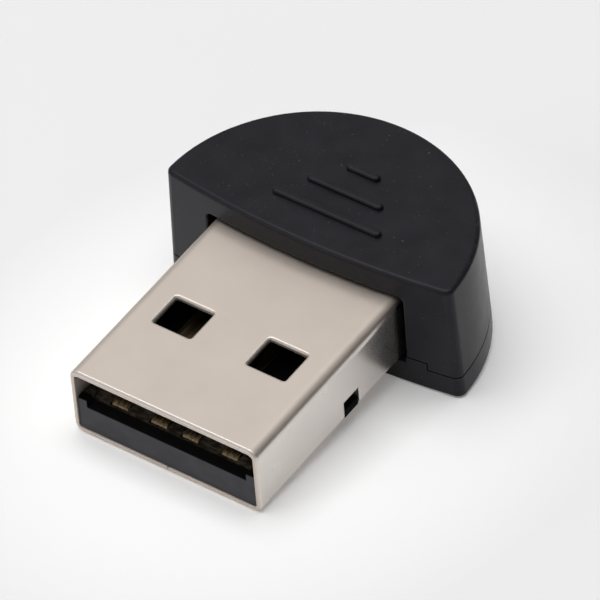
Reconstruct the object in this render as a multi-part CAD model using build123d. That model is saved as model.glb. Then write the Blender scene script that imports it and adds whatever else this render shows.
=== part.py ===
from build123d import *
import math
import os

# Wireless adapter on a flat plug, with a half-moon casing.
# X runs across the plug, the plug's mouth faces -Y, +Z is up. The origin is on the casing's flat
# underside, in the middle of the overall width and length. All sizes are in millimetres.

# Plug shell, folded from one strip of sheet
PLUG_WIDTH = 12.0
PLUG_HEIGHT = 4.5
PLUG_REACH = 12.72
SHELL_SHEET = 0.3
SHELL_BEND = 0.6
SHELL_HELD = 2.2
MOUTH_BEVEL = 0.12
WINDOW_WIDTH = 2.45
WINDOW_LENGTH = 2.2
WINDOW_SETBACK = 5.16
WINDOW_SPACING = 6.0
WINDOW_CORNER = 0.15
WINDOW_ROLLOVER = 0.1
NOTCH_LENGTH = 1.4
NOTCH_HEIGHT = 1.5
NOTCH_UNDERCUT = 0.7
NOTCH_SETBACK = 7.7
SLIT_WIDTH = 0.06
DOVETAIL_SETBACKS = (2.6, 9.2)
DOVETAIL_LENGTH = 2.2
DOVETAIL_DEPTH = 1.3
DOVETAIL_FLARE = 0.35
LEG_LENGTH = 1.0
LEG_HEIGHT = 2.0
LEG_DROP = 0.4

# Insulator, with the tongue that carries the contacts
TONGUE_THICKNESS = 1.95
TONGUE_SETBACK = 0.1
NOSE_BEVEL_LENGTH = 0.5
NOSE_BEVEL_DEPTH = 0.3
RAIL_WIDTH = 0.55
RAIL_RISE = 0.2
BLOCK_SETBACK = 11.0
BLOCK_CORNER = 0.35
LATCH_REACH = 0.25
LATCH_HEIGHT = 0.75
LATCH_SLOPE = 0.25

# Contacts, four blanked and bent strips
CONTACT_OUTER_X = 3.5
CONTACT_INNER_X = 1.0
CONTACT_PLACES = {
    "contact_power": CONTACT_OUTER_X,
    "contact_data_minus": CONTACT_INNER_X,
    "contact_data_plus": -CONTACT_INNER_X,
    "contact_ground": -CONTACT_OUTER_X,
}
CONTACT_WIDTH = 1.0
CONTACT_THICKNESS = 0.3
CONTACT_SETBACK = 0.75
CONTACT_RISE = 0.1
CONTACT_BEND = 0.35
CONTACT_NOSE_DROP = 0.75
TAIL_WIDTH = 0.6
TAIL_LAP = 1.2

# Casing, in two mouldings
BASE_RADIUS = 9.44
ARC_SETBACK = 0.89
FRONT_WALL_RADIUS = 59.0
CASING_HEIGHT = 7.74
DRAFT_ANGLE = 2.4
CORNER_RADIUS = 0.5
INNER_CORNER_RADIUS = 0.4
TOP_EDGE_RADIUS = 0.25
BOTTOM_EDGE_CHAMFER = 0.08
WALL = 1.0
ROOF = 1.0
FLOOR = 0.9
PLUG_LIFT = 1.47
OPENING_CORNER = 0.35
OPENING_EDGE_RADIUS = 0.12
SEAM_HEIGHT = 1.38
SHUT_LINE = 0.08
LIP_HEIGHT = 0.8
LIP_THICKNESS = 0.45
SEAM_STEP = 0.5
SEAM_STEP_HALF_WIDTH = 7.55

# Raised grip ribs on the roof
RIB_LENGTHS = (6.9, 4.8, 2.1)
RIB_WIDTH = 0.5
RIB_HEIGHT = 0.28
RIB_CROWN_SHARE = 0.55
RIB_SETBACK = 2.4
RIB_PITCH = 1.73
RIB_SHIFT = 0.2

# Seats inside the casing
CLAMP_RIB_X = 3.5
CLAMP_RIB_WIDTH = 0.8
PIN_ANGLE = 40.0
PIN_INSET = 0.95
PIN_RADIUS = 0.35
PIN_REACH = 1.0
POST_RADIUS = 0.75
BOSS_RADIUS = 0.8
SHELF_WIDTH = 3.0
SHELF_DEPTH = 0.4

# Circuit board and what is soldered to it
BOARD_THICKNESS = 0.8
RADIO_CHIP_SIZE = (3.5, 3.5, 0.85)
RADIO_CHIP_PADS = 6
MEMORY_CHIP_SIZE = (2.0, 1.4, 0.6)
MEMORY_CHIP_PADS = 2
CHIP_PAD_PITCH = 0.5
CHIP_PAD_SIZE = (0.25, 0.35, 0.2)
CHIP_PAD_PROUD = 0.03
CHIP_DOT_INSET = 0.5
CHIP_DOT_RADIUS = 0.25
CHIP_DOT_DEPTH = 0.05
REGULATOR_SIZE = (1.2, 0.8, 0.5)
REGULATOR_LIFT = 0.06
REGULATOR_LEAD = (0.3, 0.2, 0.12)
REGULATOR_LEAD_PITCH = 0.4
CRYSTAL_SIZE = (1.6, 1.2, 0.4)
CRYSTAL_BASE_HEIGHT = 0.2
CRYSTAL_LID_INSET = 0.1
SMALL_CHIP_SIZE = (1.0, 0.5, 0.45)
COIL_SIZE = (1.6, 0.8, 0.8)
END_CAP_SHARE = 0.25
END_CAP_PROUD = 0.02
ANTENNA_RIM_GAP = 0.25
ANTENNA_FINGER = 0.8
ANTENNA_HALF_ANGLE = 22.0
ANTENNA_FINGERS = 10
TRACE_WIDTH = 0.25
TRACE_THICKNESS = 0.05
SOLDER_OVERLAP = 0.2
SOLDER_RISE = 0.12
SOLDER_BEVEL = 0.12
LEG_SOLDER_WIDTH = 0.5

# Places on the board: how far across from the middle, and how far behind its front edge
RADIO_CHIP_PLACE = (0.0, 2.1)
MEMORY_CHIP_PLACE = (3.2, 0.85)
REGULATOR_PLACE = (-1.75, 2.25)
CRYSTAL_PLACE = (1.75, 2.2)
COIL_PLACE = (0.0, 2.3)
CHIP_ROW_BACK = 0.8
TOP_ROW_X = {
    "capacitor_1": 1.95,
    "capacitor_2": 2.55,
    "capacitor_3": -1.95,
    "capacitor_4": -2.55,
    "resistor_1": 4.5,
    "resistor_2": -4.5,
}
UNDER_ROW_X = {
    "capacitor_5": -2.4,
    "capacitor_6": -3.1,
    "resistor_3": -3.8,
    "resistor_4": -4.5,
}

# Clearances
FIT_GAP = 0.05
PLUG_OPENING_GAP = 0.28
BOARD_GAP = 0.2
LEG_SLOT_GAP = 0.08
PIN_GAP = 0.07
LATCH_GAP = 0.08

# Places along Y, measured back from the mouth
MOUTH_Y = -(PLUG_REACH + ARC_SETBACK + BASE_RADIUS) / 2
FRONT_Y = MOUTH_Y + PLUG_REACH
ARC_Y = FRONT_Y + ARC_SETBACK
SHELL_REAR_Y = FRONT_Y + SHELL_HELD
LEG_END_Y = SHELL_REAR_Y + LEG_LENGTH
BOARD_FRONT_Y = SHELL_REAR_Y + FIT_GAP

# Heights, worked up from the underside
PLUG_TOP = PLUG_LIFT + PLUG_HEIGHT
CAVITY_FLOOR = PLUG_LIFT + SHELL_SHEET
TONGUE_TOP = CAVITY_FLOOR + TONGUE_THICKNESS
CONTACT_BED = TONGUE_TOP + CONTACT_RISE - CONTACT_THICKNESS
BOARD_TOP = CONTACT_BED
BOARD_BOTTOM = BOARD_TOP - BOARD_THICKNESS
CEILING = CASING_HEIGHT - ROOF
LIP_TOP = SEAM_HEIGHT + LIP_HEIGHT
CAVITY_WIDTH = PLUG_WIDTH - 2 * SHELL_SHEET
CAVITY_HEIGHT = PLUG_HEIGHT - 2 * SHELL_SHEET

FROM_BELOW = (Align.CENTER, Align.CENTER, Align.MIN)
FROM_CORNER_Y = (Align.CENTER, Align.MIN, Align.MIN)


def block(width, y_start, y_end, z_start, z_end, x=0.0):
    """A box centred on x, given by its ends along Y and Z."""
    size = Box(width, y_end - y_start, z_end - z_start, align=FROM_CORNER_Y)
    return Pos(x, y_start, z_start) * size


def moon_radius(height):
    """Outer radius of the drafted casing at one height."""
    return BASE_RADIUS - height * math.tan(math.radians(DRAFT_ANGLE))


def half_moon(bottom, top, inset=0.0, corner=INNER_CORNER_RADIUS):
    """A half-moon slice of the casing, moved in by the inset: drafted round wall, slightly bowed front."""
    height = top - bottom
    cone = Cone(moon_radius(bottom) - inset, moon_radius(top) - inset, height, align=FROM_BELOW)
    disc = Pos(0, ARC_Y, bottom) * Rot(0, 0, -90) * cone
    bow = Cylinder(FRONT_WALL_RADIUS - inset, height, align=FROM_BELOW)
    slice_ = disc & (Pos(0, FRONT_Y + FRONT_WALL_RADIUS, bottom) * bow)
    upright = slice_.edges().filter_by(lambda edge: edge.bounding_box().size.Z > height / 2)
    return fillet(upright, corner)


def plug_passage():
    """The room for the plug shell, from the front wall back to the shell's rear, from its underside up."""
    width = PLUG_WIDTH + 2 * PLUG_OPENING_GAP
    top = PLUG_TOP + PLUG_OPENING_GAP
    passage = block(width, FRONT_Y - WALL, SHELL_REAR_Y + FIT_GAP, PLUG_LIFT, top)
    upper = passage.edges().filter_by(Axis.Y).group_by(Axis.Z)[-1]
    return fillet(upper, OPENING_CORNER)


def opening_rim(body):
    """The edges of the plug's opening where it meets the front wall, above the step of the seam."""
    half_width = PLUG_WIDTH / 2 + PLUG_OPENING_GAP + FIT_GAP
    bottom = SEAM_HEIGHT + SHUT_LINE + SEAM_STEP
    top = PLUG_TOP + PLUG_OPENING_GAP + FIT_GAP
    on_wall = body.edges().filter_by_position(Axis.Y, FRONT_Y - FIT_GAP, FRONT_Y + WALL - LIP_THICKNESS)
    beside_plug = on_wall.filter_by_position(Axis.X, -half_width, half_width)
    return beside_plug.filter_by_position(Axis.Z, bottom, top)


def grip_rib(length, y):
    """One raised rib with rounded ends, upright sides and rounded top edges, standing on the roof."""
    foot = Pos(RIB_SHIFT, y, CASING_HEIGHT - RIB_HEIGHT) * SlotOverall(length, RIB_WIDTH)
    rib = extrude(foot, 2 * RIB_HEIGHT)
    crown = rib.edges().group_by(Axis.Z)[-1]
    return fillet(crown, RIB_HEIGHT * RIB_CROWN_SHARE)


def pin_places(z):
    """The two places of the locating pins, on a circle inside the board's rim."""
    reach = board_radius() - PIN_INSET
    x = reach * math.sin(math.radians(PIN_ANGLE))
    y = ARC_Y + reach * math.cos(math.radians(PIN_ANGLE))
    return Locations((-x, y, z), (x, y, z))


def upper_casing():
    """Upper moulding: roof, drafted wall, rabbet for the lower lip, bosses and clamp ribs."""
    skirt = SEAM_HEIGHT + SHUT_LINE
    body = half_moon(skirt, CASING_HEIGHT, corner=CORNER_RADIUS)
    rim = body.edges().group_by(Axis.Z)[-1]
    body = fillet(rim, TOP_EDGE_RADIUS)
    body -= half_moon(FLOOR, CEILING, inset=WALL)
    body -= half_moon(FLOOR, LIP_TOP, inset=WALL - LIP_THICKNESS - FIT_GAP)
    body -= block(2 * SEAM_STEP_HALF_WIDTH, FRONT_Y - WALL, FRONT_Y + 2 * WALL, FLOOR, skirt + SEAM_STEP)
    body -= plug_passage()
    body = fillet(opening_rim(body), OPENING_EDGE_RADIUS)
    boss = Cylinder(BOSS_RADIUS, CEILING + ROOF / 2 - BOARD_TOP, align=FROM_BELOW)
    bore = Cylinder(PIN_RADIUS + PIN_GAP, PIN_REACH + BOARD_GAP, align=FROM_BELOW)
    body += pin_places(BOARD_TOP) * boss
    body -= pin_places(BOARD_TOP) * bore
    clamp_root = CASING_HEIGHT - TOP_EDGE_RADIUS
    for x in (-CLAMP_RIB_X, CLAMP_RIB_X):
        body += block(CLAMP_RIB_WIDTH, FRONT_Y + WALL - FIT_GAP, SHELL_REAR_Y, PLUG_TOP, clamp_root, x)
    for index, length in enumerate(RIB_LENGTHS):
        body += grip_rib(length, FRONT_Y + RIB_SETBACK + index * RIB_PITCH)
    return body


def lower_cover():
    """Lower moulding: shallow tray with a lip, a step beside the plug, saddle, posts and shelf."""
    body = half_moon(0, SEAM_HEIGHT, corner=CORNER_RADIUS)
    foot = body.edges().group_by(Axis.Z)[0]
    body = chamfer(foot, BOTTOM_EDGE_CHAMFER)
    lip = half_moon(FLOOR, LIP_TOP, inset=WALL - LIP_THICKNESS)
    step_top = SEAM_HEIGHT + SEAM_STEP
    beside_plug = block(2 * (SEAM_STEP_HALF_WIDTH - SHUT_LINE), FRONT_Y, FRONT_Y + 2 * WALL, FLOOR, step_top)
    body += lip + (half_moon(FLOOR, step_top) & beside_plug)
    body -= half_moon(FLOOR, LIP_TOP, inset=WALL)
    body -= plug_passage()
    for x in (-CLAMP_RIB_X, 0, CLAMP_RIB_X):
        body += block(CLAMP_RIB_WIDTH, FRONT_Y + WALL - FIT_GAP, SHELL_REAR_Y, FLOOR / 2, PLUG_LIFT, x)
    post = Cylinder(POST_RADIUS, BOARD_BOTTOM - FLOOR / 2, align=FROM_BELOW)
    pin = Cylinder(PIN_RADIUS, BOARD_TOP + PIN_REACH - FLOOR / 2, align=FROM_BELOW)
    shelf_back = ARC_Y + board_radius()
    seats = block(SHELF_WIDTH, shelf_back - SHELF_DEPTH, shelf_back, FLOOR / 2, BOARD_BOTTOM)
    seats += pin_places(FLOOR / 2) * (post + pin)
    body += seats & half_moon(FLOOR / 2, BOARD_TOP + PIN_REACH, inset=WALL + FIT_GAP)
    return body


def dovetail_slit():
    """The hairline where the strip's two edges meet under the plug, with its dovetail locks."""
    points = [(0, MOUTH_Y - SHELL_SHEET)]
    for setback in DOVETAIL_SETBACKS:
        start = MOUTH_Y + setback
        end = start + DOVETAIL_LENGTH
        points += [
            (0, start),
            (DOVETAIL_DEPTH, start - DOVETAIL_FLARE),
            (DOVETAIL_DEPTH, end + DOVETAIL_FLARE),
            (0, end),
        ]
    points.append((0, SHELL_REAR_Y + SHELL_SHEET))
    pieces = []
    cut_depth = 3 * SHELL_SHEET
    for (x_start, y_start), (x_end, y_end) in zip(points, points[1:]):
        run = math.hypot(x_end - x_start, y_end - y_start) + SLIT_WIDTH
        angle = math.degrees(math.atan2(y_end - y_start, x_end - x_start))
        middle = Pos((x_start + x_end) / 2, (y_start + y_end) / 2, PLUG_LIFT)
        pieces.append(middle * Rot(0, 0, angle) * Box(run, SLIT_WIDTH, cut_depth))
    return pieces[0].fuse(*pieces[1:])


def window_punch(x):
    """The room of two windows, one above the other, flared outwards where the sheet rolls over."""
    outline = RectangleRounded(WINDOW_WIDTH, WINDOW_LENGTH, WINDOW_CORNER)
    middle = Pos(x, MOUTH_Y + WINDOW_SETBACK + WINDOW_LENGTH / 2, PLUG_LIFT)
    flare = Pos(0, 0, -WINDOW_ROLLOVER) * extrude(outline, WINDOW_ROLLOVER, taper=-45)
    upper_flare = middle * Pos(0, 0, PLUG_HEIGHT) * flare
    lower_flare = middle * Rot(180, 0, 0) * flare
    return (middle * extrude(outline, PLUG_HEIGHT)).fuse(upper_flare, lower_flare)


def plug_shell():
    """Folded steel shell with windows above and below, latch notches and two solder legs."""
    length = SHELL_REAR_Y - MOUTH_Y
    middle_z = PLUG_LIFT + PLUG_HEIGHT / 2
    section = Plane.XZ.offset(-SHELL_REAR_Y) * Pos(0, middle_z) * RectangleRounded(
        PLUG_WIDTH, PLUG_HEIGHT, SHELL_BEND)
    body = extrude(section, length)
    mouth = body.edges().group_by(Axis.Y)[0]
    body = chamfer(mouth, MOUTH_BEVEL)
    hollow = Plane.XZ.offset(-SHELL_REAR_Y - SHELL_SHEET) * Pos(0, middle_z) * RectangleRounded(
        CAVITY_WIDTH, CAVITY_HEIGHT, SHELL_BEND - SHELL_SHEET)
    body -= extrude(hollow, length + 2 * SHELL_SHEET)
    for x in (-WINDOW_SPACING / 2, WINDOW_SPACING / 2):
        body -= window_punch(x)
    notch_y = MOUTH_Y + NOTCH_SETBACK
    for x in (-PLUG_WIDTH / 2, PLUG_WIDTH / 2):
        body -= block(2 * NOTCH_UNDERCUT, notch_y, notch_y + NOTCH_LENGTH, 0, PLUG_LIFT + NOTCH_HEIGHT, x)
    body -= dovetail_slit()
    leg_x = (PLUG_WIDTH - SHELL_SHEET) / 2
    leg_base = BOARD_BOTTOM - LEG_DROP
    leg_top = leg_base + LEG_HEIGHT
    for x in (-leg_x, leg_x):
        body += block(SHELL_SHEET, SHELL_REAR_Y - SHELL_SHEET, LEG_END_Y, leg_base, leg_top, x)
    return body


def latch(side):
    """One sloped nub on the insulator's side that snaps into the shell's notch."""
    base_x = CAVITY_WIDTH / 2 - LATCH_REACH
    tip_x = CAVITY_WIDTH / 2 + LATCH_REACH
    top = CAVITY_FLOOR + LATCH_HEIGHT
    outline = [
        (base_x, CAVITY_FLOOR),
        (tip_x, CAVITY_FLOOR),
        (tip_x, top - LATCH_SLOPE),
        (base_x, top),
    ]
    rear_y = MOUTH_Y + NOTCH_SETBACK + NOTCH_LENGTH - LATCH_GAP
    profile = make_face(Polyline(*[(side * x, z) for x, z in outline], close=True))
    return extrude(Plane.XZ.offset(-rear_y) * profile, NOTCH_LENGTH - 2 * LATCH_GAP)


def plug_insulator():
    """Moulded insulator: rear block, tongue with side rails, contact grooves and two latches."""
    width = CAVITY_WIDTH - 2 * FIT_GAP
    block_height = CAVITY_HEIGHT - FIT_GAP
    block_y = MOUTH_Y + BLOCK_SETBACK
    section = Plane.XZ.offset(-SHELL_REAR_Y) * Pos(0, CAVITY_FLOOR + block_height / 2) * RectangleRounded(
        width, block_height, BLOCK_CORNER)
    body = extrude(section, SHELL_REAR_Y - block_y)
    tongue_y = MOUTH_Y + TONGUE_SETBACK
    tongue = block(width, tongue_y, block_y + BLOCK_CORNER, CAVITY_FLOOR, TONGUE_TOP)
    lower_edges = tongue.edges().filter_by(Axis.Y).group_by(Axis.Z)[0]
    tongue = fillet(lower_edges, BLOCK_CORNER)
    nose = tongue.edges().filter_by(Axis.X).group_by(Axis.Z)[-1].sort_by(Axis.Y)[0]
    nose_face = tongue.faces().sort_by(Axis.Y)[0]
    tongue = chamfer(nose, NOSE_BEVEL_DEPTH, NOSE_BEVEL_LENGTH, reference=nose_face)
    body += tongue
    rail_x = (width - RAIL_WIDTH) / 2
    for x in (-rail_x, rail_x):
        body += block(RAIL_WIDTH, tongue_y, block_y + BLOCK_CORNER, TONGUE_TOP - NOSE_BEVEL_DEPTH,
                      TONGUE_TOP + RAIL_RISE, x)
    body += latch(-1) + latch(1)
    groove_width = CONTACT_WIDTH + 2 * FIT_GAP
    groove_y = MOUTH_Y + CONTACT_SETBACK - FIT_GAP
    pocket_end = groove_y + CONTACT_BEND + CONTACT_THICKNESS + FIT_GAP
    groove_top = CONTACT_BED + CONTACT_THICKNESS + FIT_GAP
    pocket_floor = groove_top - CONTACT_NOSE_DROP - 2 * FIT_GAP
    for x in CONTACT_PLACES.values():
        body -= block(groove_width, groove_y, SHELL_REAR_Y + FIT_GAP, CONTACT_BED, groove_top, x)
        body -= block(groove_width, groove_y, pocket_end, pocket_floor, groove_top, x)
    return body


def contact(x):
    """One contact: nose bent down into the tongue, flat spring, narrow tail on the board."""
    middle_z = CONTACT_BED + CONTACT_THICKNESS / 2
    nose_y = MOUTH_Y + CONTACT_SETBACK + CONTACT_THICKNESS / 2
    nose_z = CONTACT_BED + CONTACT_THICKNESS - CONTACT_NOSE_DROP
    path = FilletPolyline(
        (x, nose_y, nose_z),
        (x, nose_y, middle_z),
        (x, SHELL_REAR_Y - FIT_GAP, middle_z),
        radius=CONTACT_BEND,
    )
    start = Plane(origin=path @ 0, z_dir=path % 0, x_dir=(1, 0, 0))
    strip = sweep(start * Rectangle(CONTACT_WIDTH, CONTACT_THICKNESS), path=path)
    tail = block(TAIL_WIDTH, SHELL_REAR_Y - 2 * FIT_GAP, BOARD_FRONT_Y + TAIL_LAP, CONTACT_BED,
                 CONTACT_BED + CONTACT_THICKNESS, x)
    return strip + tail


def board_radius():
    """Radius of the board's round edge, clear of the drafted wall."""
    return moon_radius(BOARD_TOP) - WALL - BOARD_GAP


def circuit_board():
    """Half-moon board behind the plug, its corners notched for the shell's legs, with two pin holes."""
    disc = Pos(0, ARC_Y, BOARD_BOTTOM) * Cylinder(board_radius(), BOARD_THICKNESS, align=FROM_BELOW)
    back = ARC_Y + 2 * BASE_RADIUS
    body = disc & block(3 * BASE_RADIUS, BOARD_FRONT_Y, back, BOARD_BOTTOM, BOARD_TOP)
    notch_x = PLUG_WIDTH / 2 - SHELL_SHEET - LEG_SLOT_GAP + BASE_RADIUS / 2
    for x in (-notch_x, notch_x):
        body -= block(BASE_RADIUS, FRONT_Y, LEG_END_Y + LEG_SLOT_GAP, BOARD_BOTTOM, BOARD_TOP, x)
    hole = Cylinder(PIN_RADIUS + PIN_GAP, BOARD_THICKNESS, align=FROM_BELOW)
    body -= pin_places(BOARD_BOTTOM) * hole
    return body


def on_board(piece, place, under=False, turned=False):
    """Sets a piece on the board with its centre at a place, on top or upside down beneath."""
    x, back = place
    if turned:
        piece = Rot(0, 0, 90) * piece
    if under:
        return Pos(x, BOARD_FRONT_Y + back, BOARD_BOTTOM) * Rot(0, 180, 0) * piece
    return Pos(x, BOARD_FRONT_Y + back, BOARD_TOP) * piece


def padded_chip(size, pads_per_side, all_sides):
    """A moulded chip with solder pads along its edges and a dimple at its first pad."""
    width, depth, height = size
    body = Box(width, depth, height, align=FROM_BELOW)
    pad = Box(*CHIP_PAD_SIZE, align=FROM_BELOW)
    pad_length = CHIP_PAD_SIZE[1]
    row = GridLocations(CHIP_PAD_PITCH, 0, pads_per_side, 1)
    sides = [0, 90, 180, 270] if all_sides else [90, 270]
    for angle in sides:
        reach = depth / 2 if angle in (0, 180) else width / 2
        offset = reach - pad_length / 2 + CHIP_PAD_PROUD
        edge = Rot(0, 0, angle) * Pos(0, offset, 0)
        body += [edge * place * pad for place in row]
    dot = Cylinder(CHIP_DOT_RADIUS, CHIP_DOT_DEPTH, align=(Align.CENTER, Align.CENTER, Align.MAX))
    body -= Pos(CHIP_DOT_INSET - width / 2, depth / 2 - CHIP_DOT_INSET, height) * dot
    return body


def voltage_regulator():
    """A three-lead regulator: moulded body with gull-wing leads, two in front and one behind."""
    width, depth, height = REGULATOR_SIZE
    lead_width, lead_length, lead_thickness = REGULATOR_LEAD
    body = Box(width, depth, height - REGULATOR_LIFT, align=FROM_BELOW)
    body = chamfer(body.faces().sort_by(Axis.Z)[-1].edges(), REGULATOR_LIFT)
    body = Pos(0, 0, REGULATOR_LIFT) * body
    foot = block(lead_width, depth / 2, depth / 2 + lead_length, 0, lead_thickness)
    riser = block(lead_width, depth / 2, depth / 2 + lead_thickness, 0, height / 2)
    lead = foot + riser
    body += lead
    for x in (-REGULATOR_LEAD_PITCH, REGULATOR_LEAD_PITCH):
        body += Pos(x, 0, 0) * Rot(0, 0, 180) * lead
    return body


def crystal_can():
    """A sealed crystal: ceramic base with a smaller metal lid."""
    width, depth, height = CRYSTAL_SIZE
    base = Box(width, depth, CRYSTAL_BASE_HEIGHT, align=FROM_BELOW)
    lid = Box(width - 2 * CRYSTAL_LID_INSET, depth - 2 * CRYSTAL_LID_INSET, height, align=FROM_BELOW)
    lid = fillet(lid.edges().filter_by(Axis.Z), CRYSTAL_LID_INSET)
    return base + lid


def end_capped_chip(size):
    """A ceramic chip part with a plated cap over each end."""
    width, depth, height = size
    cap_width = width * END_CAP_SHARE
    body = Box(width, depth, height, align=FROM_BELOW)
    cap = Box(cap_width, depth + 2 * END_CAP_PROUD, height + END_CAP_PROUD, align=FROM_BELOW)
    reach = (width - cap_width) / 2
    for x in (-reach, reach):
        body += Pos(x, 0, 0) * cap
    return body


def antenna_trace():
    """The copper meander along the board's round edge: radial fingers joined in turn out and in."""
    middle_radius = board_radius() - ANTENNA_RIM_GAP - (ANTENNA_FINGER + TRACE_WIDTH) / 2
    step = 2 * ANTENNA_HALF_ANGLE / (ANTENNA_FINGERS - 1)
    half_step = math.radians(step / 2)
    finger = Box(TRACE_WIDTH, ANTENNA_FINGER + TRACE_WIDTH, TRACE_THICKNESS, align=FROM_BELOW)
    pieces = []
    for index in range(ANTENNA_FINGERS):
        angle = index * step - ANTENNA_HALF_ANGLE
        pieces.append(Rot(0, 0, angle) * Pos(0, middle_radius, 0) * finger)
        if index == ANTENNA_FINGERS - 1:
            continue
        side = 1 if index % 2 else -1
        radius = middle_radius + side * ANTENNA_FINGER / 2
        link = Box(2 * radius * math.sin(half_step), TRACE_WIDTH, TRACE_THICKNESS, align=FROM_BELOW)
        pieces.append(Rot(0, 0, angle + step / 2) * Pos(0, radius * math.cos(half_step), 0) * link)
    trace = pieces[0].fuse(*pieces[1:])
    return Pos(0, ARC_Y, BOARD_TOP) * trace


def solder_lump(width, depth, height):
    """A solder joint as a low bevelled mound standing on the board."""
    lump = Box(width, depth, height, align=FROM_BELOW)
    return chamfer(lump.faces().sort_by(Axis.Z)[-1].edges(), SOLDER_BEVEL)


def tail_solder():
    """Four joints that bed the contact tails on the board."""
    lumps = []
    width = TAIL_WIDTH + 2 * SOLDER_OVERLAP
    depth = TAIL_LAP - SOLDER_OVERLAP
    for x in CONTACT_PLACES.values():
        place = Pos(x, BOARD_FRONT_Y + TAIL_LAP - depth / 2 + SOLDER_OVERLAP, BOARD_TOP)
        lump = place * solder_lump(width, depth, CONTACT_THICKNESS + SOLDER_RISE)
        lumps.append((lump - contact(x)).solid())
    return Compound(lumps)


def leg_solder():
    """Two joints against the inner sides of the shell's legs, on top of the board."""
    width = LEG_SLOT_GAP + LEG_SOLDER_WIDTH
    depth = LEG_LENGTH - SOLDER_OVERLAP
    lump_x = PLUG_WIDTH / 2 - SHELL_SHEET - width / 2
    lump = solder_lump(width, depth, CONTACT_THICKNESS + SOLDER_RISE)
    return Compound([Pos(x, LEG_END_Y - depth / 2, BOARD_TOP) * lump for x in (-lump_x, lump_x)])


def small_parts():
    """The chip capacitors and resistors, in a row on each side of the board, and the coil."""
    chip = end_capped_chip(SMALL_CHIP_SIZE)
    parts = {"coil": on_board(end_capped_chip(COIL_SIZE), COIL_PLACE, turned=True)}
    for name, x in TOP_ROW_X.items():
        parts[name] = on_board(chip, (x, CHIP_ROW_BACK), turned=True)
    for name, x in UNDER_ROW_X.items():
        parts[name] = on_board(chip, (x, CHIP_ROW_BACK), under=True, turned=True)
    return parts


radio_chip = padded_chip(RADIO_CHIP_SIZE, RADIO_CHIP_PADS, all_sides=True)
memory_chip = padded_chip(MEMORY_CHIP_SIZE, MEMORY_CHIP_PADS, all_sides=False)
nodes = {
    "upper_casing": upper_casing(),
    "lower_cover": lower_cover(),
    "plug_shell": plug_shell(),
    "plug_insulator": plug_insulator(),
    "circuit_board": circuit_board(),
    "radio_chip": on_board(radio_chip, RADIO_CHIP_PLACE, under=True),
    "memory_chip": on_board(memory_chip, MEMORY_CHIP_PLACE, under=True),
    "voltage_regulator": on_board(voltage_regulator(), REGULATOR_PLACE),
    "crystal_can": on_board(crystal_can(), CRYSTAL_PLACE),
    "antenna_trace": antenna_trace(),
    "tail_solder": tail_solder(),
    "leg_solder": leg_solder(),
}
nodes.update({name: contact(x) for name, x in CONTACT_PLACES.items()})
nodes.update(small_parts())

os.makedirs("parts", exist_ok=True)
for name, shape in nodes.items():
    export_step(shape, f"parts/{name}.step")
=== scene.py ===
import math

import bmesh
import bpy
from mathutils import Matrix, Vector


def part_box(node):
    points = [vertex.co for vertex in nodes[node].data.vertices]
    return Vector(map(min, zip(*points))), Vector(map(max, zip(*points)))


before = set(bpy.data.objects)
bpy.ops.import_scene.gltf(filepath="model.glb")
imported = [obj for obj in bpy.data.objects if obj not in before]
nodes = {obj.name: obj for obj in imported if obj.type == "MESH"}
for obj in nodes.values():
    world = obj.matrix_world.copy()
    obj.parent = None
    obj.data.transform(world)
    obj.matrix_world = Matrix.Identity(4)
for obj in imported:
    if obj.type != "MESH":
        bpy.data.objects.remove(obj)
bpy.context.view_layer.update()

# Camera: a long lens from the front right, 45 degrees above the table. The adapter tips forward onto
# its plug, so in its own frame the camera is rolled by the same few degrees.
MM = 0.001
scene = bpy.context.scene
view_azimuth = math.radians(38.05)
view_elevation = math.radians(45.06)
view_roll = math.radians(5.0)
view_distance = 392.86 * MM
aim = Vector((0.4644, 0.3171, 4.2043)) * MM
toward_camera = Vector((
    math.sin(view_azimuth) * math.cos(view_elevation),
    -math.cos(view_azimuth) * math.cos(view_elevation),
    math.sin(view_elevation),
))
camera_data = bpy.data.cameras.new("camera")
camera_data.sensor_width = 36.0
camera_data.lens = 445.5
camera_data.clip_start = 0.01
camera_data.clip_end = 20.0
camera = bpy.data.objects.new("camera", camera_data)
scene.collection.objects.link(camera)
camera.matrix_world = (
    Matrix.Translation(aim + toward_camera * view_distance)
    @ toward_camera.to_track_quat("Z", "Y").to_matrix().to_4x4()
    @ Matrix.Rotation(-view_roll, 4, "Z")
)
scene.camera = camera

# Casing: two black mouldings, the deep upper one with the grip ribs and the shallow cover under the seam.
# The plastic is satin, with the fine grain of an eroded mould and slightly rounded edges, and a little
# pale dust clings to it.


def node_material(name):
    """A new material, with short ways to add nodes and to join them."""
    material = bpy.data.materials.new(name)
    material.use_nodes = True
    tree = material.node_tree
    shader = tree.nodes["Principled BSDF"]

    def add(kind, **settings):
        node = tree.nodes.new(kind)
        for key, value in settings.items():
            if key.startswith("in_"):
                node.inputs[int(key[3:])].default_value = value
            else:
                setattr(node, key, value)
        return node

    def join(source, target):
        tree.links.new(source, target)

    return material, shader, add, join


def shades(add, join, factor, dark, light, low=0.0, high=1.0):
    """A colour ramp between two colours, driven by a pattern."""
    ramp = add("ShaderNodeValToRGB")
    ramp.color_ramp.elements[0].position = low
    ramp.color_ramp.elements[0].color = (*dark, 1)
    ramp.color_ramp.elements[1].position = high
    ramp.color_ramp.elements[1].color = (*light, 1)
    join(factor, ramp.inputs[0])
    return ramp.outputs[0]


def spread(add, join, factor, low, high, start=0.0, end=1.0):
    """Maps a pattern to a plain range of numbers."""
    remap = add("ShaderNodeMapRange", in_1=start, in_2=end, in_3=low, in_4=high)
    join(factor, remap.inputs[0])
    return remap.outputs[0]


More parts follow.
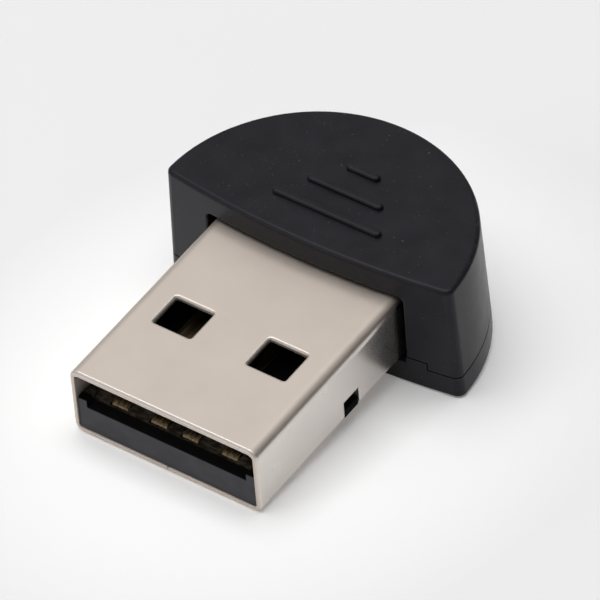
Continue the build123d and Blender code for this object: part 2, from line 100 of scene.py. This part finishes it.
def noise(add, join, place, grain, detail=2.0, stretch=(1, 1, 1)):
    """Noise whose features are about as long as the grain, in metres."""
    mapping = add("ShaderNodeMapping")
    mapping.inputs["Scale"].default_value = stretch
    join(place, mapping.inputs["Vector"])
    texture = add("ShaderNodeTexNoise")
    texture.inputs["Scale"].default_value = 1 / grain
    texture.inputs["Detail"].default_value = detail
    join(mapping.outputs[0], texture.inputs["Vector"])
    return texture.outputs[0]


def blend(add, join, factor, first, second):
    """A mix of two colours, each of them a plain colour or the output of a node."""
    mix = add("ShaderNodeMix", data_type="RGBA")
    join(factor, mix.inputs[0])
    for colour, socket in ((first, mix.inputs[6]), (second, mix.inputs[7])):
        if isinstance(colour, tuple):
            socket.default_value = (*colour, 1)
        else:
            join(colour, socket)
    return mix.outputs[2]


def soft_edges(add, radius, samples):
    """A normal that is rounded over each sharp edge."""
    bevel = add("ShaderNodeBevel", samples=samples)
    bevel.inputs["Radius"].default_value = radius
    return bevel.outputs[0]


def relief(add, join, shader, pattern, strength, depth, normal=None):
    """Bumps the surface by a pattern, over rounded edges where they are given."""
    bump = add("ShaderNodeBump")
    bump.inputs["Strength"].default_value = strength
    bump.inputs["Distance"].default_value = depth
    join(pattern, bump.inputs["Height"])
    if normal is not None:
        join(normal, bump.inputs["Normal"])
    join(bump.outputs[0], shader.inputs["Normal"])


def dress(piece, material):
    """Gives a piece one material and nothing else."""
    piece.data.materials.clear()
    piece.data.materials.append(material)


noise_span = (0.3, 0.7)  # nearly all of a noise's values lie between these
casing, shader, add, join = node_material("casing_black")
place = add("ShaderNodeTexCoord").outputs["Object"]
cloud = noise(add, join, place, 1.6 * MM)
grain = noise(add, join, place, 0.09 * MM, detail=3.0)
speck = noise(add, join, place, 0.16 * MM, detail=1.0)
dusty = spread(add, join, speck, 0.0, 1.0, start=0.73, end=0.79)
dust_grey = (0.060, 0.058, 0.064)
deep_black, mid_black = (0.0104, 0.0098, 0.0128), (0.0142, 0.0135, 0.0170)
moulded_black = shades(add, join, cloud, deep_black, mid_black, *noise_span)
join(blend(add, join, dusty, moulded_black, dust_grey), shader.inputs["Base Color"])
join(spread(add, join, cloud, 0.32, 0.38, *noise_span), shader.inputs["Roughness"])
shader.inputs["Specular IOR Level"].default_value = 0.18
shader.inputs["Specular Tint"].default_value = (0.92, 0.92, 1.0, 1)
rounded = soft_edges(add, radius=0.06 * MM, samples=6)
relief(add, join, shader, grain, strength=0.25, depth=0.01 * MM, normal=rounded)
for name in ("upper_casing", "lower_cover"):
    dress(nodes[name], casing)

# Plug shell: one strip of steel sheet folded round the tongue and plated with satin nickel, with faint
# lines along the plug from its rolling. Sockets have burnished its folds and sides smoother and whiter
# than its top, and have worn the edges of the top smoother; those edges are also painted near white, a
# painted highlight.


def combine(add, join, operation, *patterns):
    """One sum, product or other operation on one or two patterns."""
    node = add("ShaderNodeMath", operation=operation)
    for pattern, socket in zip(patterns, node.inputs):
        join(pattern, socket)
    return node.outputs[0]


shell_steel, shader, add, join = node_material("shell_nickel")
place = add("ShaderNodeTexCoord").outputs["Object"]
cloud = noise(add, join, place, 2.2 * MM, detail=4.0)
lines = noise(add, join, place, 0.11 * MM, detail=1.0, stretch=(1.0, 0.04, 1.0))
position = add("ShaderNodeSeparateXYZ")
join(place, position.inputs[0])
from_middle = combine(add, join, "ABSOLUTE", position.outputs["X"])

rounded = soft_edges(add, radius=0.12 * MM, samples=12)
edge_turn = add("ShaderNodeVectorMath", operation="DOT_PRODUCT")
join(rounded, edge_turn.inputs[0])
join(add("ShaderNodeNewGeometry").outputs["Normal"], edge_turn.inputs[1])
on_edge = spread(add, join, edge_turn.outputs["Value"], 1.0, 0.0, start=0.90, end=0.995)
on_top = spread(add, join, position.outputs["Z"], 0.0, 1.0, start=5.55 * MM, end=5.75 * MM)
wear_and_highlight = combine(add, join, "MULTIPLY", on_edge, on_top)

on_side = spread(add, join, from_middle, 0.0, 1.0, start=5.93 * MM, end=5.99 * MM)
warm_nickel = shades(add, join, cloud, (0.615, 0.548, 0.492), (0.662, 0.592, 0.533), *noise_span)
rubbed_nickel = shades(add, join, cloud, (0.628, 0.590, 0.553), (0.672, 0.631, 0.591), *noise_span)
# painted highlight: the top's worn edges are painted near white, brighter than nickel
painted_highlight_nickel = (0.93, 0.91, 0.90)
nickel = blend(add, join, on_side, warm_nickel, rubbed_nickel)
join(blend(add, join, wear_and_highlight, nickel, painted_highlight_nickel), shader.inputs["Base Color"])
shader.inputs["Metallic"].default_value = 1.0

satin = spread(add, join, cloud, 0.60, 0.64, *noise_span)
burnish = spread(add, join, from_middle, 0.0, -0.36, start=5.80 * MM, end=5.97 * MM)
polish = spread(add, join, wear_and_highlight, 0.0, -0.26)
smoothed = combine(add, join, "ADD", satin, burnish)
join(combine(add, join, "ADD", smoothed, polish), shader.inputs["Roughness"])
relief(add, join, shader, lines, strength=0.07, depth=0.004 * MM, normal=rounded)
dress(nodes["plug_shell"], shell_steel)

# Insulator: the dark grey moulding that fills the rear of the plug and reaches forward as the tongue.
# Its front face keeps the moulding's dark grey; the bevel above it and the rest of the moulding are
# painted nearly black, as painted shade; and just behind the bevel a strip is painted a paler, mottled
# brown, as painted light reaching into the mouth.
insulator, shader, add, join = node_material("insulator_grey")
place = add("ShaderNodeTexCoord").outputs["Object"]
cloud = noise(add, join, place, 0.8 * MM)
grain = noise(add, join, place, 0.06 * MM)
strip_mottle = noise(add, join, place, 0.20 * MM, detail=4.0, stretch=(0.45, 1.0, 1.0))
position = add("ShaderNodeSeparateXYZ")
join(place, position.inputs[0])
along = position.outputs["Y"]
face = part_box("plug_insulator")[0].y
on_face = spread(add, join, along, 1.0, 0.0, start=face + 0.02 * MM, end=face + 0.05 * MM)
past_bevel = spread(add, join, along, 0.0, 1.0, start=face + 0.50 * MM, end=face + 0.62 * MM)
before_rear = spread(add, join, along, 1.0, 0.0, start=face + 1.4 * MM, end=face + 2.2 * MM)
painted_strip_mask = combine(add, join, "MULTIPLY", past_bevel, before_rear)
# painted shade: the bevel and every face behind the front face, but the strip, are painted nearly black
painted_shade_black = (0.0012, 0.0011, 0.0011)
# painted light: the strip just behind the bevel is painted a paler, mottled brown
painted_light_strip = shades(add, join, strip_mottle, (0.030, 0.025, 0.018), (0.12, 0.10, 0.076), low=0.38, high=0.64)
face_grey = shades(add, join, cloud, (0.056, 0.055, 0.062), (0.068, 0.066, 0.074), *noise_span)
behind_face = blend(add, join, painted_strip_mask, painted_shade_black, painted_light_strip)
join(blend(add, join, on_face, behind_face, face_grey), shader.inputs["Base Color"])
join(spread(add, join, on_face, 0.92, 0.46), shader.inputs["Roughness"])
shader.inputs["Specular IOR Level"].default_value = 0.10
relief(add, join, shader, grain, strength=0.2, depth=0.008 * MM)
dress(nodes["plug_insulator"], insulator)

# Contacts: four bent strips of bronze, pressed into grooves of the tongue. Their thin gold plate is
# painted a dull dark brown, far darker than gold, as painted shade deep in the plug's mouth, and the
# sockets have rubbed it paler in streaks along its length.
gold, shader, add, join = node_material("contact_gold")
place = add("ShaderNodeTexCoord").outputs["Object"]
rub = noise(add, join, place, 0.12 * MM, detail=3.0, stretch=(1.0, 0.06, 1.0))
# painted shade: the gold is painted far darker than bare gold
plate = shades(add, join, rub, (0.09, 0.066, 0.036), (0.26, 0.20, 0.12), low=0.35, high=0.65)
join(plate, shader.inputs["Base Color"])
shader.inputs["Metallic"].default_value = 1.0
join(spread(add, join, rub, 0.34, 0.50, *noise_span), shader.inputs["Roughness"])
for name in ("contact_power", "contact_data_minus", "contact_data_plus", "contact_ground"):
    dress(nodes[name], gold)

# Circuit board: glass laminate under green solder mask, with the copper of its tracks showing through
# as paler lines. It is sealed in the casing.
laminate, shader, add, join = node_material("board_green")
place = add("ShaderNodeTexCoord").outputs["Object"]
tracks = add("ShaderNodeTexBrick", offset=0.35, squash=0.6)
tracks.inputs["Scale"].default_value = 1 / (1.1 * MM)
tracks.inputs["Mortar Size"].default_value = 0.06
tracks.inputs["Color1"].default_value = (0.008, 0.075, 0.022, 1)
tracks.inputs["Color2"].default_value = (0.010, 0.090, 0.028, 1)
tracks.inputs["Mortar"].default_value = (0.030, 0.170, 0.060, 1)
join(place, tracks.inputs["Vector"])
join(tracks.outputs["Color"], shader.inputs["Base Color"])
cloud = noise(add, join, place, 0.5 * MM)
join(spread(add, join, cloud, 0.18, 0.30), shader.inputs["Roughness"])
relief(add, join, shader, tracks.outputs["Fac"], strength=0.3, depth=0.02 * MM)
dress(nodes["circuit_board"], laminate)

# Chips: the radio, the memory and the voltage regulator, three blocks of black resin soldered to the
# board. The resin is dull as it comes from the mould, with a fine sparkle from its filler.
resin, shader, add, join = node_material("chip_resin")
place = add("ShaderNodeTexCoord").outputs["Object"]
filler = noise(add, join, place, 0.04 * MM, detail=3.0)
black_resin = shades(add, join, filler, (0.012, 0.012, 0.013), (0.030, 0.030, 0.031), low=0.4, high=0.7)
join(black_resin, shader.inputs["Base Color"])
join(spread(add, join, filler, 0.55, 0.72), shader.inputs["Roughness"])
for name in ("radio_chip", "memory_chip", "voltage_regulator"):
    dress(nodes[name], resin)

# Crystal can, solder joints and antenna trace: bare metal parts on the board, each with the uneven gloss
# of metal that was plated, or melted and set.


def board_metal(name, dull, bright, ripple, roughness):
    """Metal with a ripple of the given grain in its surface."""
    material, shader, add, join = node_material(name)
    place = add("ShaderNodeTexCoord").outputs["Object"]
    waves = noise(add, join, place, ripple, detail=3.0)
    join(shades(add, join, waves, dull, bright, low=0.35, high=0.65), shader.inputs["Base Color"])
    shader.inputs["Metallic"].default_value = 1.0
    join(spread(add, join, waves, roughness - 0.06, roughness + 0.06), shader.inputs["Roughness"])
    relief(add, join, shader, waves, strength=0.3, depth=0.01 * MM)
    return material


crystal_lid = board_metal(
    "crystal_lid", (0.58, 0.56, 0.50), (0.72, 0.70, 0.64), ripple=0.3 * MM, roughness=0.34
)
solder = board_metal("solder", (0.60, 0.61, 0.62), (0.80, 0.81, 0.82), ripple=0.12 * MM, roughness=0.22)
trace_gold = board_metal(
    "trace_gold", (0.70, 0.44, 0.20), (0.85, 0.60, 0.32), ripple=0.08 * MM, roughness=0.30
)
dress(nodes["crystal_can"], crystal_lid)
dress(nodes["tail_solder"], solder)
dress(nodes["leg_solder"], solder)
dress(nodes["antenna_trace"], trace_gold)

# Chip capacitors, chip resistors and coil: small fired blocks, tan or nearly black, with tinned ends.
# They all lie front to back, so their ends are told by the distance from their own middle.


def fired_block(name, node, dark, light, cap_length):
    """Ceramic with tinned ends, measured along Y from the middle of one node."""
    low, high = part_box(node)
    material, shader, add, join = node_material(name)
    place = add("ShaderNodeTexCoord").outputs["Object"]
    position = add("ShaderNodeSeparateXYZ")
    join(place, position.inputs[0])
    offset = add("ShaderNodeMath", operation="SUBTRACT", in_1=(low.y + high.y) / 2)
    join(position.outputs["Y"], offset.inputs[0])
    reach = combine(add, join, "ABSOLUTE", offset.outputs[0])
    is_end = add("ShaderNodeMath", operation="GREATER_THAN", in_1=(high.y - low.y) / 2 - cap_length)
    join(reach, is_end.inputs[0])
    fleck = noise(add, join, place, 0.1 * MM, detail=3.0)
    body = shades(add, join, fleck, dark, light, low=0.35, high=0.65)
    tin = (0.72, 0.72, 0.70)
    join(blend(add, join, is_end.outputs[0], body, tin), shader.inputs["Base Color"])
    join(is_end.outputs[0], shader.inputs["Metallic"])
    join(spread(add, join, fleck, 0.30, 0.50), shader.inputs["Roughness"])
    return material


cap_length = 0.25 * MM
dark_tan, light_tan = (0.30, 0.19, 0.11), (0.42, 0.29, 0.18)
dark_glaze, light_glaze = (0.015, 0.015, 0.018), (0.030, 0.030, 0.034)
tan = fired_block("capacitor_tan", "capacitor_1", dark_tan, light_tan, cap_length)
tan_under = fired_block("capacitor_tan_under", "capacitor_5", dark_tan, light_tan, cap_length)
black = fired_block("resistor_black", "resistor_1", dark_glaze, light_glaze, cap_length)
for name in ("capacitor_1", "capacitor_2", "capacitor_3", "capacitor_4"):
    dress(nodes[name], tan)
for name in ("capacitor_5", "capacitor_6"):
    dress(nodes[name], tan_under)
for name in ("resistor_1", "resistor_2", "resistor_3", "resistor_4"):
    dress(nodes[name], black)
coil_cap = 0.4 * MM
coil_black = fired_block("coil_black", "coil", (0.03, 0.03, 0.03), (0.06, 0.055, 0.05), coil_cap)
dress(nodes["coil"], coil_black)

# Table: a plain white sheet that the adapter leans on with the lower edges of its plug and its casing.
# It fades a little from the middle outwards, as the photograph's background does, and looks a little
# brighter than it is lit, to the camera and in reflections alike.
plug_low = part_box("plug_shell")[0]
cover_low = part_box("lower_cover")[0]
lean = math.atan2(plug_low.z - cover_low.z, cover_low.y - plug_low.y)
sheet = bmesh.new()
half_size = 1.5
bmesh.ops.create_grid(sheet, x_segments=1, y_segments=1, size=half_size)
bmesh.ops.rotate(sheet, verts=sheet.verts, matrix=Matrix.Rotation(-lean, 3, "X"))
bmesh.ops.translate(sheet, verts=sheet.verts, vec=(0, cover_low.y, cover_low.z))
table_mesh = bpy.data.meshes.new("table")
sheet.to_mesh(table_mesh)
sheet.free()
table = bpy.data.objects.new("table", table_mesh)
scene.collection.objects.link(table)

paper, shader, add, join = node_material("table_white")
shader.inputs["Roughness"].default_value = 0.9
shader.inputs["Specular IOR Level"].default_value = 0.0
place = add("ShaderNodeTexCoord").outputs["Object"]
turned = add("ShaderNodeMapping")
turned.inputs["Location"].default_value = (0.5 * MM, 1.5 * MM, 0)
turned.inputs["Rotation"].default_value = (0, 0, -view_azimuth)
turned.inputs["Scale"].default_value = (1.0, 0.74, 1.0)
join(place, turned.inputs["Vector"])
distance = add("ShaderNodeVectorMath", operation="LENGTH")
join(turned.outputs[0], distance.inputs[0])
# painted light: the sheet is painted darker away from the adapter, a painted fall-off of light round it
painted_falloff = spread(add, join, distance.outputs["Value"], 0.0, 1.0, start=9 * MM, end=18 * MM)
near_white, far_white = (0.97, 0.97, 0.97), (0.79, 0.79, 0.79)
join(shades(add, join, painted_falloff, near_white, far_white), shader.inputs["Base Color"])
rays = add("ShaderNodeLightPath")
seen = combine(add, join, "MAXIMUM", rays.outputs["Is Camera Ray"], rays.outputs["Is Glossy Ray"])
seen = combine(add, join, "MAXIMUM", seen, rays.outputs["Is Transmission Ray"])
lift = 0.15
join(spread(add, join, seen, 0.0, lift), shader.inputs["Emission Strength"])
shader.inputs["Emission Color"].default_value = (1.0, 1.0, 1.0, 1)
dress(table, paper)

# Light: a dim room that is paler towards the back left, one large soft box overhead, and a small one
# low at the front left that draws the bright lines along the plug's front edges.
world = bpy.data.worlds.new("room")
world.use_nodes = True
scene.world = world
tree = world.node_tree
background = tree.nodes["Background"]
direction = tree.nodes.new("ShaderNodeTexCoord").outputs["Generated"]
toward_window = tree.nodes.new("ShaderNodeVectorMath")
toward_window.operation = "DOT_PRODUCT"
toward_window.inputs[1].default_value = Vector((-0.70, 0.35, 0.60)).normalized()
tree.links.new(direction, toward_window.inputs[0])
room_level = tree.nodes.new("ShaderNodeMapRange")
room_level.inputs["From Min"].default_value = 0.1
room_level.inputs["From Max"].default_value = 0.95
room_level.inputs["To Min"].default_value = 0.10
room_level.inputs["To Max"].default_value = 0.48
tree.links.new(toward_window.outputs["Value"], room_level.inputs[0])
tree.links.new(room_level.outputs[0], background.inputs["Strength"])
background.inputs["Color"].default_value = (1.0, 1.0, 1.0, 1)


def soft_box(name, direction, distance, size, power):
    """A square soft box that faces the object."""
    lamp = bpy.data.lights.new(name, "AREA")
    lamp.shape = "SQUARE"
    lamp.size = size
    lamp.energy = power
    box = bpy.data.objects.new(name, lamp)
    scene.collection.objects.link(box)
    toward = Vector(direction).normalized()
    facing = toward.to_track_quat("Z", "Y").to_matrix().to_4x4()
    box.matrix_world = Matrix.Translation(aim + toward * distance) @ facing


soft_box("overhead", direction=(-0.10, 0.00, 1.0), distance=0.6, size=0.60, power=2.84)
soft_box("front_left", direction=(-0.44, -0.80, 0.40), distance=0.6, size=0.20, power=0.36)

scene.view_settings.view_transform = "Standard"
